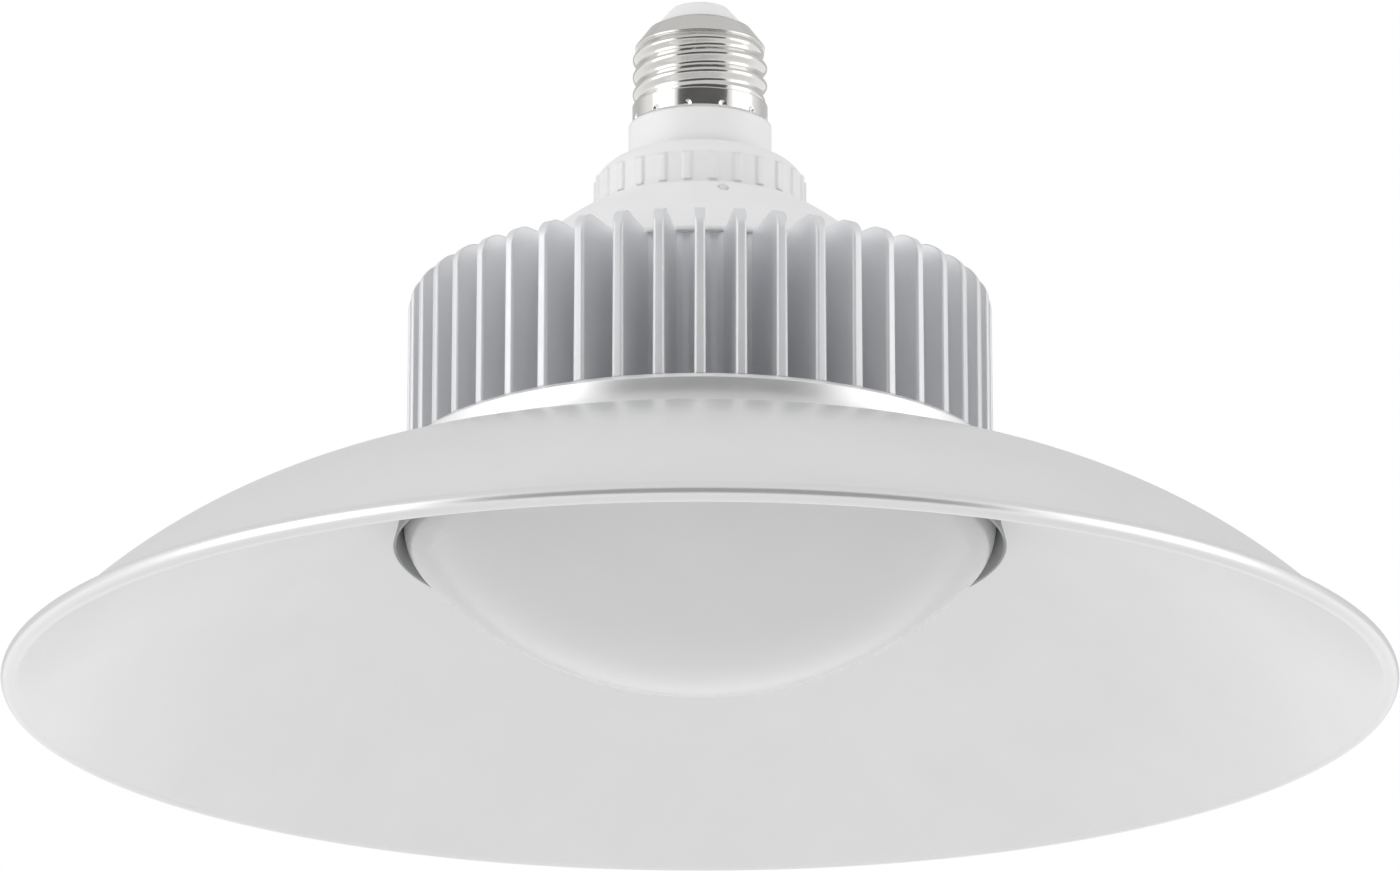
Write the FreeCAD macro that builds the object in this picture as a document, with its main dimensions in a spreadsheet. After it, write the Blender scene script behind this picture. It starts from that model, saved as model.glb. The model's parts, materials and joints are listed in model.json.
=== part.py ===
"""LED garage light: screw cap, finned heat sink, opal dome and spun shade.

The frame is +Z up, in millimetres, with the lamp axis on Z. The origin is where the
screw cap's skirt meets the neck, so the lamp hangs below z = 0 and the cap stands above it.
"""
import FreeCAD, Part
import math
import os
import Sketcher
from FreeCAD import Vector

DIMENSIONS = {
    # screw cap, E26 size
    "thread_radius": 13.15,
    "thread_depth": 0.95,
    "thread_pitch": 3.629,
    "thread_length": 12.2,
    "thread_azimuth": -134.0,
    "shell_wall": 0.35,
    "skirt_radius": 13.2,
    "skirt_height": 4.2,
    "lip_flare": 0.3,
    "lip_height": 0.6,
    "taper_height": 4.05,
    "taper_top_radius": 10.1,
    "taper_top_drop": 0.6,
    "shell_top_radius": 8.8,
    "stake_count": 12,
    "stake_radius": 1.2,
    "stake_depth": 0.3,
    "stake_height": 0.9,
    "stake_azimuth": 19.5,
    "nose_height": 3.9,
    "nose_top_radius": 5.5,
    "nose_edge": 0.4,
    "nose_plug_depth": 2.1,
    "contact_radius": 4.0,
    "contact_height": 1.1,
    "contact_stem_radius": 1.5,
    "contact_stem_length": 9.0,
    # neck and ribbed collar
    "neck_radius": 13.95,
    "neck_height": 7.2,
    "collar_radius": 20.4,
    "collar_height": 11.05,
    "collar_flare": 1.2,
    "shoulder_drop": 4.2,
    "shoulder_radius": 7.5,
    "holder_wall": 2.2,
    "neck_land_height": 3.6,
    "neck_plug_height": 15.2,
    "spigot_depth": 6.6,
    "rib_count": 26,
    "rib_width": 1.9,
    "rib_depth": 0.3,
    # domed driver cover
    "cover_height": 15.5,
    "cover_base_radius": 39.9,
    "cover_base_edge": 0.8,
    "cover_top_radius": 22.6,
    "cover_bulge_radius": 77.0,
    "cover_wall": 2.2,
    "cover_bore_radius": 17.4,
    "cover_lip_depth": 3.0,
    "lock_screw_radius": 1.0,
    "lock_screw_length": 8.2,
    "lock_screw_azimuth": -80.0,
    "lock_screw_drop": 2.4,
    # heat sink
    "core_radius": 38.5,
    "core_height": 33.75,
    "core_wall": 3.5,
    "floor_thickness": 5.0,
    "flange_thickness": 3.8,
    "fin_count": 45,
    "fin_radius": 56.7,
    "fin_thickness": 2.2,
    "fin_draft": 0.2,
    "fin_rise": 0.3,
    "fin_corner_radius": 4.6,
    "fin_tip_chamfer": 0.4,
    "fin_root_chamfer": 1.0,
    "wire_hole_radius": 3.2,
    # mounting ring
    "ring_radius": 57.4,
    "ring_wall": 5.2,
    "ring_seat": 8.0,
    "ring_lip": 3.9,
    "ring_chamfer": 0.8,
    "ring_bulge_radius": 8.0,
    # spun shade
    "shade_wall": 1.0,
    "shade_radius": 134.0,
    "crown_radius": 111.7,
    "crown_centre_radius": 46.6,
    "curl_radius": 1.8,
    "curl_sweep": 235.0,
    # dome and the ring that holds it
    "dome_radius": 57.1,
    "dome_height": 35.2,
    "dome_sphere_radius": 74.3,
    "dome_corner_radius": 12.0,
    "dome_wall": 2.0,
    "dome_gap": 1.0,
    "dome_ring_height": 6.0,
    "snap_height": 1.6,
    "snap_depth": 0.6,
    "snap_drop": 3.4,
    "clamp_screw_count": 4,
    "clamp_screw_radius": 2.0,
    "clamp_head_radius": 3.4,
    "clamp_head_height": 2.4,
    "clamp_thread_depth": 2.8,
    # LED board
    "thermal_pad_thickness": 0.5,
    "led_board_thickness": 1.6,
    "led_board_margin": 5.5,
    "chip_radial": 2.8,
    "chip_tangential": 3.5,
    "chip_height": 0.7,
    "chip_ring_pitch": 11.0,
    "chip_ring_first": 12.0,
    "chips_first_ring": 8,
    "board_screw_count": 3,
    "board_screw_radius": 1.5,
    "board_screw_head_radius": 2.6,
    "board_screw_head_height": 1.8,
    "board_screw_circle": 28.5,
    "board_screw_thread": 4.0,
    "connector_length": 7.0,
    "connector_width": 5.0,
    "connector_height": 3.0,
    "connector_place": 17.5,
    # driver in the heat sink's core
    "liner_wall": 1.2,
    "post_height": 5.2,
    "post_radius": 3.0,
    "driver_board_gap": 3.6,
    "driver_board_thickness": 1.6,
    "driver_screw_count": 3,
    "driver_screw_radius": 1.25,
    "driver_screw_head_radius": 2.3,
    "driver_screw_head_height": 1.6,
    "driver_screw_depth": 4.0,
    "driver_screw_inset": 3.5,
    "driver_screw_azimuth": 30.0,
    "wire_radius": 0.6,
    "lead_place": 24.0,
    "lead_bend_radius": 9.0,
    "neutral_offset": 4.5,
    "neutral_bend_radius": 3.0,
    # play between pieces that fit into each other
    "clearance": 0.2,
}

# Each driver component: outline across X and Y, height, and the place of its middle on the board.
# A round component has one outline value, its radius.
COMPONENTS = {
    "transformer": ((22.0, 18.0), 18.0, (0.0, 10.5)),
    "input_capacitor": ((6.5,), 20.0, (-16.0, -8.0)),
    "output_capacitor": ((6.0,), 16.0, (16.0, -8.0)),
    "film_capacitor": ((13.0, 6.0), 11.0, (0.0, -19.5)),
    "choke": ((5.5,), 8.0, (0.0, -7.5)),
    "bridge_rectifier": ((6.0, 4.0), 3.0, (12.0, -19.0)),
    "fuse": ((2.2,), 8.0, (-11.5, -19.0)),
    "varistor": ((3.5, 9.0), 9.0, (-16.8, 8.5)),
    "switch_transistor": ((4.5, 10.0), 15.0, (16.8, 7.0)),
    "driver_chip": ((5.0, 4.0), 1.5, (0.0, 23.0)),
}

doc = FreeCAD.newDocument("led_garage_light")
sheet = doc.addObject("Spreadsheet::Sheet", "dims")


def fill_sheet():
    """Write every driving dimension into the sheet, with its name as the alias."""
    rows = dict(DIMENSIONS)
    for name, (outline, height, place) in COMPONENTS.items():
        if len(outline) == 1:
            rows[name + "_radius"] = outline[0]
        else:
            rows[name + "_length"] = outline[0]
            rows[name + "_width"] = outline[1]
        rows[name + "_height"] = height
        rows[name + "_x"] = place[0]
        rows[name + "_y"] = place[1]
    for row, (name, value) in enumerate(rows.items(), start=1):
        sheet.set("A%d" % row, name)
        sheet.set("B%d" % row, str(value))
        sheet.setAlias("B%d" % row, name)
    doc.recompute()


def number(expression):
    """The present value of an expression over the sheet."""
    value = sheet.evalExpression(expression)
    return float(getattr(value, "Value", value))


fill_sheet()

# Levels along the lamp axis, the cap's upper edge first, then from the cap's seat downwards
SHELL_TOP = "(dims.skirt_height + dims.thread_length + dims.taper_height)"
COLLAR_FOOT = "(-dims.neck_height - dims.collar_height)"
COVER_FOOT = "(%s - dims.cover_height)" % COLLAR_FOOT
FIN_FOOT = "(%s - dims.core_height)" % COVER_FOOT
FLANGE_FOOT = "(%s - dims.flange_thickness)" % FIN_FOOT
SHADE_SEAT = "(%s - dims.ring_lip)" % FLANGE_FOOT
BOARD_SEAT = "(%s - dims.shade_wall)" % SHADE_SEAT
CAVITY_FLOOR = "(%s + dims.floor_thickness)" % BOARD_SEAT
DRIVER_SEAT = "(%s + dims.liner_wall + dims.post_height)" % CAVITY_FLOOR
DRIVER_TOP = "(%s + dims.driver_board_thickness)" % DRIVER_SEAT
LED_FACE = "(%s - dims.thermal_pad_thickness - dims.led_board_thickness)" % BOARD_SEAT
DOME_RING_FOOT = "(%s - dims.dome_ring_height)" % BOARD_SEAT

# Radii that follow from the driving dimensions
FLANGE_RADIUS = "(dims.ring_radius - dims.ring_wall)"
PEDESTAL_RADIUS = "(%s - dims.ring_seat)" % FLANGE_RADIUS
PEDESTAL_HEIGHT = "(dims.ring_lip + dims.shade_wall)"
CLAMP_CIRCLE = "(%s + dims.ring_seat / 2)" % PEDESTAL_RADIUS
CAVITY_RADIUS = "(dims.core_radius - dims.core_wall)"
LINER_RADIUS = "(%s - dims.clearance)" % CAVITY_RADIUS
DRIVER_BOARD_RADIUS = "(%s - dims.liner_wall - dims.driver_board_gap)" % LINER_RADIUS
DRIVER_SCREW_CIRCLE = "(%s - dims.driver_screw_inset)" % DRIVER_BOARD_RADIUS
DRIVER_SCREW_PLACE = (
    "%s * cos(dims.driver_screw_azimuth * 1deg)" % DRIVER_SCREW_CIRCLE,
    "%s * sin(dims.driver_screw_azimuth * 1deg)" % DRIVER_SCREW_CIRCLE,
)
LED_BOARD_RADIUS = "(%s - dims.led_board_margin)" % PEDESTAL_RADIUS
SPIGOT_RADIUS = "(dims.cover_bore_radius - dims.clearance)"
DOME_INNER_RADIUS = "(dims.dome_radius - dims.dome_wall)"


def arc_between(start, end, radius, clockwise):
    """The short arc from start to end, as a sketch curve that runs anticlockwise."""
    chord = end - start
    half = chord.Length / 2
    rise = math.sqrt(max(radius * radius - half * half, 0))
    left = Vector(-chord.y, chord.x, 0).normalize()
    side = -1 if clockwise else 1
    centre = (start + end) * 0.5 + left * (side * rise)
    first, last = (end, start) if clockwise else (start, end)
    first_angle = math.atan2(first.y - centre.y, first.x - centre.x)
    last_angle = math.atan2(last.y - centre.y, last.x - centre.x)
    if last_angle < first_angle:
        last_angle += 2 * math.pi
    circle = Part.Circle(centre, Vector(0, 0, 1), radius)
    return Part.ArcOfCircle(circle, first_angle, last_angle)


def bind(sketch, constraint, expression):
    """Add a constraint whose value follows an expression."""
    index = sketch.addConstraint(constraint)
    sketch.setExpression("Constraints[%d]" % index, expression)


def place_point(sketch, curve, end, x, y):
    """Hold a curve's end at the two given distances from the sketch's origin."""
    bind(sketch, Sketcher.Constraint("DistanceX", -1, 1, curve, end, number(x)), x)
    bind(sketch, Sketcher.Constraint("DistanceY", -1, 1, curve, end, number(y)), y)


def draw_path(sketch, corners, closed=True):
    """Draw lines and arcs through corners.

    A corner is (x, y) or (x, y, radius, turn): then the stretch after it is an arc that runs
    "cw" or "ccw" to the next corner.
    """
    points = [Vector(number(corner[0]), number(corner[1]), 0) for corner in corners]
    spans = len(corners) if closed else len(corners) - 1
    ends = []
    for index in range(spans):
        corner = corners[index]
        following = points[(index + 1) % len(points)]
        if len(corner) == 2:
            curve = sketch.addGeometry(Part.LineSegment(points[index], following))
            ends.append((curve, 1, 2))
        else:
            clockwise = corner[3] == "cw"
            arc = arc_between(points[index], following, number(corner[2]), clockwise)
            curve = sketch.addGeometry(arc)
            ends.append((curve, 2, 1) if clockwise else (curve, 1, 2))
    joints = len(ends) if closed else len(ends) - 1
    for index in range(joints):
        curve, _, finish = ends[index]
        other, start, _ = ends[(index + 1) % len(ends)]
        sketch.addConstraint(Sketcher.Constraint("Coincident", curve, finish, other, start))
    for index, (curve, start, finish) in enumerate(ends):
        corner = corners[index]
        place_point(sketch, curve, start, corner[0], corner[1])
        if len(corner) > 2:
            radius = Sketcher.Constraint("Radius", curve, number(corner[2]))
            bind(sketch, radius, corner[2])
    if not closed:
        curve, _, finish = ends[-1]
        place_point(sketch, curve, finish, corners[-1][0], corners[-1][1])


def draw_circle(sketch, x, y, radius):
    """Draw a circle held by its middle and its radius."""
    middle = Vector(number(x), number(y), 0)
    curve = sketch.addGeometry(Part.Circle(middle, Vector(0, 0, 1), number(radius)))
    place_point(sketch, curve, 3, x, y)
    bind(sketch, Sketcher.Constraint("Radius", curve, number(radius)), radius)


def origin_feature(body, role):
    """One of the body's own origin planes or axes."""
    return next(item for item in body.Origin.OriginFeatures if item.Role == role)


def new_body(label, level="0"):
    """A body whose own z = 0 lies at a level of the lamp."""
    body = doc.addObject("PartDesign::Body", label)
    body.Label = label
    body.AllowCompound = True
    body.setExpression("Placement.Base.z", level)
    return body


def new_sketch(body, role, height="0"):
    """A sketch on one of the body's origin planes, lifted off it by a height."""
    sketch = body.newObject("Sketcher::SketchObject", body.Name + "_sketch")
    sketch.AttachmentSupport = [(origin_feature(body, role), "")]
    sketch.MapMode = "FlatFace"
    sketch.setExpression("AttachmentOffset.Base.z", height)
    return sketch


def feature(body, kind, sketch):
    """A sketch-based feature of the body."""
    made = body.newObject("PartDesign::" + kind, body.Name + "_" + kind.lower())
    made.Profile = sketch
    return made


def revolve(body, corners, kind="Revolution"):
    """Turn an outline in the (radius, z) plane about the lamp axis."""
    sketch = new_sketch(body, "XZ_Plane")
    draw_path(sketch, corners)
    turned = feature(body, kind, sketch)
    turned.ReferenceAxis = (sketch, ["V_Axis"])
    turned.Angle = 360
    return turned


def turned_part(label, level, corners):
    """A piece that is one turned outline."""
    body = new_body(label, level)
    revolve(body, corners)
    return body


def pad(body, height, length, corners):
    """Raise an outline in the XY plane from a height."""
    sketch = new_sketch(body, "XY_Plane", height)
    draw_path(sketch, corners)
    raised = feature(body, "Pad", sketch)
    raised.setExpression("Length", length)
    return raised


def round_pad(body, height, length, radius, x="0", y="0"):
    """Raise a cylinder from a height."""
    sketch = new_sketch(body, "XY_Plane", height)
    draw_circle(sketch, x, y, radius)
    raised = feature(body, "Pad", sketch)
    raised.setExpression("Length", length)
    return raised


def round_pocket(body, height, length, radius, x="0", y="0"):
    """Cut a round hole upwards from a height."""
    sketch = new_sketch(body, "XY_Plane", height)
    draw_circle(sketch, x, y, radius)
    cut = feature(body, "Pocket", sketch)
    cut.setExpression("Length", length)
    cut.Reversed = True
    return cut


def polar(body, features, count):
    """Repeat features about the lamp axis."""
    pattern = body.newObject("PartDesign::PolarPattern", body.Name + "_pattern")
    pattern.Originals = features
    pattern.Axis = (origin_feature(body, "Z_Axis"), [""])
    pattern.Angle = 360
    pattern.setExpression("Occurrences", count)
    body.Tip = pattern
    return pattern


def box_corners(length, width, x="0", y="0"):
    """The corners of a rectangle about a middle."""
    left, right = "%s - %s / 2" % (x, length), "%s + %s / 2" % (x, length)
    near, far = "%s - %s / 2" % (y, width), "%s + %s / 2" % (y, width)
    return [(left, near), (right, near), (right, far), (left, far)]


def wave_tube(root, depth, pitch, foot, length, wall):
    """A thin tube whose wall is one helical wave, faded out at both ends, as a rolled cap has."""
    around = 24
    per_turn = 12
    spans = int(round(length / pitch * per_turn))
    step = length / spans
    knots = [foot + step * index for index in range(spans + 1)]
    clamped = [knots[0]] * 3 + knots + [knots[-1]] * 3
    levels = [sum(clamped[index + 1:index + 4]) / 3 for index in range(spans + 3)]
    # A cubic spline flattens a wave through its control points by these factors
    ripple_loss = (2 + math.cos(2 * math.pi * step / pitch)) / 3
    round_loss = (2 + math.cos(2 * math.pi / around)) / 3
    fade = 0.6 * pitch

    def swell(level):
        edge = min(level - foot, foot + length - level) / fade
        ease = min(max(edge, 0.0), 1.0)
        return depth / 2 * ease * ease * (3 - 2 * ease)

    def skin(inset):
        poles = []
        for turn in range(around):
            angle = 2 * math.pi * turn / around
            column = []
            for level in levels:
                phase = 2 * math.pi * level / pitch - angle
                wave = swell(level) * (1 + math.cos(phase) / ripple_loss)
                radius = (root + wave - inset) / round_loss
                column.append(Vector(radius * math.cos(angle), radius * math.sin(angle), level))
            poles.append(column)
        surface = Part.BSplineSurface()
        surface.buildFromPolesMultsKnots(
            poles,
            [1] * (around + 1), [4] + [1] * (spans - 1) + [4],
            [float(index) for index in range(around + 1)], knots,
            True, False, 3, 3)
        return surface.toShape()

    outer, inner = skin(0), skin(wall)

    def rim(face, level):
        return next(edge for edge in face.Edges
                    if abs(edge.BoundBox.ZMin - level) < wall / 4
                    and abs(edge.BoundBox.ZMax - level) < wall / 4)

    ends = [Part.makeRuledSurface(rim(outer, level), rim(inner, level)) for level in (knots[0], knots[-1])]
    shell = Part.Shell([outer, inner] + ends)
    shell.sewShape()
    tube = Part.Solid(shell)
    if tube.Volume < 0:
        tube.reverse()
    return tube


def lathe(outline):
    """Turn a closed (radius, z) outline about the lamp axis."""
    points = [Vector(radius, 0, level) for radius, level in outline]
    face = Part.Face(Part.makePolygon(points + points[:1]))
    return face.revolve(Vector(0, 0, 0), Vector(0, 0, 1), 360)


def screw_shell():
    """The nickel shell of the screw cap: staked skirt, rolled thread, tapered top with a shoulder."""
    wall = number("dims.shell_wall")
    skirt = number("dims.skirt_radius")
    thread_foot = number("dims.skirt_height")
    thread_top = number("dims.skirt_height + dims.thread_length")
    root = number("dims.thread_radius - dims.thread_depth")
    lip = number("dims.skirt_radius + dims.lip_flare")
    lip_height = number("dims.lip_height")
    top = number(SHELL_TOP)
    top_radius = number("dims.shell_top_radius")
    shoulder = number("dims.taper_top_radius")
    shoulder_top = top - number("dims.taper_top_drop")
    # The steps at both ends of the thread reach a little further in than the thread's own wall
    bore = number("dims.thread_radius - dims.thread_depth - dims.shell_wall - dims.clearance / 2")
    base = lathe([
        (lip - wall, 0), (lip, 0), (skirt, lip_height), (skirt, thread_foot), (bore, thread_foot),
        (bore, thread_foot - wall), (skirt - wall, thread_foot - wall), (skirt - wall, lip_height)])
    bead = root + number("dims.thread_depth") / 2
    taper = lathe([
        (bore, thread_top - wall), (bead, thread_top - wall), (bead, thread_top),
        (shoulder, shoulder_top), (top_radius, top), (top_radius - wall, top),
        (shoulder - wall, shoulder_top - wall), (bore, thread_top + 2 * wall)])
    overlap = wall / 2
    tube = wave_tube(root, number("dims.thread_depth"), number("dims.thread_pitch"),
                     thread_foot - overlap, thread_top - thread_foot, wall)
    tube.rotate(Vector(0, 0, 0), Vector(0, 0, 1), number("dims.thread_azimuth"))
    shell = base.multiFuse([tube, taper])
    dent = number("dims.stake_radius")
    reach = skirt + dent - number("dims.stake_depth")
    count = int(number("dims.stake_count"))
    first = math.radians(number("dims.stake_azimuth"))
    dents = []
    for index in range(count):
        angle = first + 2 * math.pi * index / count
        middle = Vector(reach * math.cos(angle), reach * math.sin(angle), number("dims.stake_height"))
        dents.append(Part.makeSphere(dent, middle))
    made = doc.addObject("Part::Feature", "screw_shell")
    made.Shape = shell.cut(dents)
    return made


def cap_insulator():
    """The white nose: it sits on the shell's upper edge with a plug inside it."""
    plug = "(dims.shell_top_radius - dims.shell_wall - dims.clearance)"
    lean = "atan((dims.shell_top_radius - dims.nose_top_radius) / dims.nose_height)"
    edge_round = "(dims.nose_edge / tan((90deg - %s) / 2))" % lean
    return turned_part("cap_insulator", SHELL_TOP, [
        ("dims.contact_stem_radius", "-dims.nose_plug_depth"),
        (plug, "-dims.nose_plug_depth"),
        (plug, "0"),
        ("dims.shell_top_radius", "0"),
        ("dims.nose_top_radius + dims.nose_edge * sin(%s)" % lean,
         "dims.nose_height - dims.nose_edge * cos(%s)" % lean, edge_round, "ccw"),
        ("dims.nose_top_radius - dims.nose_edge", "dims.nose_height"),
        ("dims.contact_stem_radius", "dims.nose_height"),
    ])


def tip_contact():
    """The centre contact, a domed rivet through the nose."""
    foot = "(%s + dims.nose_height)" % SHELL_TOP
    dome = "((dims.contact_radius^2 + dims.contact_height^2) / (2 * dims.contact_height))"
    return turned_part("tip_contact", foot, [
        ("0", "-dims.contact_stem_length"),
        ("dims.contact_stem_radius", "-dims.contact_stem_length"),
        ("dims.contact_stem_radius", "0"),
        ("dims.contact_radius", "0", dome, "ccw"),
        ("0", "dims.contact_height"),
    ])


def cap_holder():
    """Neck and ribbed collar in one moulding, with a plug up into the cap and a spigot below."""
    body = new_body("cap_holder", COLLAR_FOOT)
    neck_top = "(dims.collar_height + dims.neck_height)"
    land = "(dims.skirt_radius - dims.shell_wall - dims.clearance)"
    plug = "(dims.thread_radius - dims.thread_depth - dims.shell_wall - dims.clearance)"
    bore = "(%s - dims.holder_wall)" % plug
    spigot_bore = "(%s - dims.holder_wall)" % SPIGOT_RADIUS
    cup_top = "(dims.collar_height - dims.shoulder_drop)"
    revolve(body, [
        (spigot_bore, "-dims.spigot_depth"),
        (SPIGOT_RADIUS, "-dims.spigot_depth"),
        (SPIGOT_RADIUS, "0"),
        ("dims.collar_radius + dims.collar_flare", "0", "dims.collar_flare", "cw"),
        ("dims.collar_radius", "dims.collar_flare"),
        ("dims.collar_radius", cup_top, "dims.shoulder_radius", "ccw"),
        ("dims.neck_radius", "dims.collar_height"),
        ("dims.neck_radius", neck_top),
        (land, neck_top),
        (land, "%s + dims.neck_land_height" % neck_top),
        (plug, "%s + dims.neck_land_height" % neck_top),
        (plug, "%s + dims.neck_plug_height" % neck_top),
        (bore, "%s + dims.neck_plug_height" % neck_top),
        (bore, cup_top),
        (spigot_bore, cup_top),
    ])
    root = "(dims.collar_radius - dims.rib_depth)"
    crest = "(dims.collar_radius + dims.rib_depth)"
    rib = pad(body, "dims.collar_flare", "%s - dims.collar_flare" % cup_top, [
        (root, "-dims.rib_width / 2"),
        ("dims.collar_radius", "-dims.rib_width / 2"),
        (crest, "-dims.rib_width / 2 + dims.rib_depth"),
        (crest, "dims.rib_width / 2 - dims.rib_depth"),
        ("dims.collar_radius", "dims.rib_width / 2"),
        (root, "dims.rib_width / 2"),
    ])
    polar(body, [rib], "dims.rib_count")
    return body


def radial_circle(body, middle, radius):
    """A circle on a plane through the lamp axis, square to the lock screw."""
    sketch = new_sketch(body, "YZ_Plane")
    draw_circle(sketch, "0", middle, radius)
    return sketch


def driver_cover():
    """The white cover on the core, with a bore for the collar's spigot and a lock screw hole."""
    body = new_body("driver_cover", COVER_FOOT)
    lip = LINER_RADIUS
    inner_lip = "(%s - dims.cover_wall)" % lip
    boss = "(dims.cover_bore_radius + dims.cover_wall)"
    boss_foot = "(dims.cover_height - dims.spigot_depth)"
    revolve(body, [
        (lip, "-dims.cover_lip_depth"),
        (lip, "0"),
        ("dims.cover_base_radius", "0"),
        ("dims.cover_base_radius", "dims.cover_base_edge", "dims.cover_bulge_radius", "ccw"),
        ("dims.cover_top_radius", "dims.cover_height"),
        ("dims.cover_bore_radius", "dims.cover_height"),
        ("dims.cover_bore_radius", boss_foot),
        (boss, boss_foot),
        (boss, "dims.cover_height - 2 * dims.cover_wall", "dims.cover_bulge_radius", "cw"),
        (inner_lip, "dims.cover_wall"),
        (inner_lip, "-dims.cover_lip_depth"),
    ])
    hole = feature(body, "Pocket", radial_circle(
        body, "dims.cover_height - dims.lock_screw_drop", "dims.lock_screw_radius"))
    hole.setExpression("Length", "dims.cover_base_radius")
    hole.Reversed = True
    body.setExpression("Placement.Rotation.Angle", "dims.lock_screw_azimuth * 1deg")
    return body


def lock_screw():
    """The grub screw that keeps the collar from turning in the cover."""
    body = new_body("lock_screw", COVER_FOOT)
    stud = feature(body, "Pad", radial_circle(
        body, "dims.cover_height - dims.lock_screw_drop", "dims.lock_screw_radius"))
    stud.setExpression("Length", "dims.lock_screw_length")
    stud.Profile[0].setExpression("AttachmentOffset.Base.z", "dims.cover_bore_radius")
    body.setExpression("Placement.Rotation.Angle", "dims.lock_screw_azimuth * 1deg")
    return body


def heatsink():
    """Die-cast core with a floor, a base flange and tapered radial fins with rounded shoulders."""
    body = new_body("heatsink", BOARD_SEAT)
    flange_top = "(%s + dims.flange_thickness)" % PEDESTAL_HEIGHT
    core_top = "(%s + dims.core_height)" % flange_top
    revolve(body, [
        ("0", "0"),
        (PEDESTAL_RADIUS, "0"),
        (PEDESTAL_RADIUS, PEDESTAL_HEIGHT),
        (FLANGE_RADIUS, PEDESTAL_HEIGHT),
        (FLANGE_RADIUS, flange_top),
        ("dims.core_radius", flange_top),
        ("dims.core_radius", core_top),
        (CAVITY_RADIUS, core_top),
        (CAVITY_RADIUS, "dims.floor_thickness"),
        ("0", "dims.floor_thickness"),
    ])
    clamp_hole = round_pocket(body, PEDESTAL_HEIGHT, "dims.clamp_thread_depth",
                              "dims.clamp_screw_radius", CLAMP_CIRCLE)
    polar(body, [clamp_hole], "dims.clamp_screw_count")
    board_hole = round_pocket(body, "0", "dims.board_screw_thread",
                              "dims.board_screw_radius", "dims.board_screw_circle")
    polar(body, [board_hole], "dims.board_screw_count")
    round_pocket(body, "0", "dims.floor_thickness", "dims.wire_hole_radius", "0", "dims.connector_place")
    half = "dims.fin_thickness / 2"
    foot_half = "(%s + dims.fin_root_chamfer)" % half
    root = "(dims.core_radius - dims.core_wall / 2)"
    # The first fin points to the front, -Y
    side = [
        (foot_half, "-%s" % root),
        (foot_half, "-dims.core_radius"),
        (half, "-dims.core_radius - dims.fin_root_chamfer"),
        (half, "-dims.fin_radius + dims.fin_tip_chamfer"),
        ("%s - dims.fin_tip_chamfer" % half, "-dims.fin_radius"),
    ]
    mirrored = [("-(%s)" % x, y) for x, y in side]
    fin = pad(body, flange_top, "dims.core_height + dims.fin_rise", mirrored + side[::-1])
    fin.setExpression("TaperAngle", "-dims.fin_draft * 1deg")
    polar(body, [fin], "dims.fin_count")
    fin_top = "(%s + dims.fin_rise)" % core_top
    tip = "(dims.fin_radius - (dims.core_height - dims.fin_corner_radius) * tan(dims.fin_draft * 1deg))"
    past = "(dims.fin_radius + dims.fin_corner_radius)"
    above = "(%s + dims.fin_corner_radius)" % fin_top
    revolve(body, [
        (CAVITY_RADIUS, core_top),
        ("dims.cover_base_radius + dims.clearance", core_top),
        ("%s - dims.fin_corner_radius" % tip, fin_top, "dims.fin_corner_radius", "cw"),
        (tip, "%s - dims.fin_corner_radius" % fin_top),
        (past, "%s - dims.fin_corner_radius" % fin_top),
        (past, above),
        (CAVITY_RADIUS, above),
    ], "Groove")
    return body


def mounting_ring():
    """The bright turned ring: it holds the flange in its step and the shade under its lip."""
    ring_height = "(dims.ring_lip + dims.flange_thickness)"
    widest = "(%s - dims.ring_chamfer)" % ring_height
    # The bulge stands upright at its widest level and tucks in below it
    tuck = "(dims.ring_bulge_radius - sqrt(dims.ring_bulge_radius^2 - %s^2))" % widest
    bore = "(%s + dims.clearance)" % PEDESTAL_RADIUS
    step = "(%s + dims.clearance)" % FLANGE_RADIUS
    body = turned_part("mounting_ring", SHADE_SEAT, [
        (bore, "0"),
        ("dims.ring_radius - %s" % tuck, "0", "dims.ring_bulge_radius", "ccw"),
        ("dims.ring_radius", widest),
        ("dims.ring_radius - dims.ring_chamfer", ring_height),
        (step, ring_height),
        (step, "dims.ring_lip"),
        (bore, "dims.ring_lip"),
    ])
    hole = round_pocket(body, "0", "dims.ring_lip", "dims.clamp_screw_radius + dims.clearance", CLAMP_CIRCLE)
    polar(body, [hole], "dims.clamp_screw_count")
    return body


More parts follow.
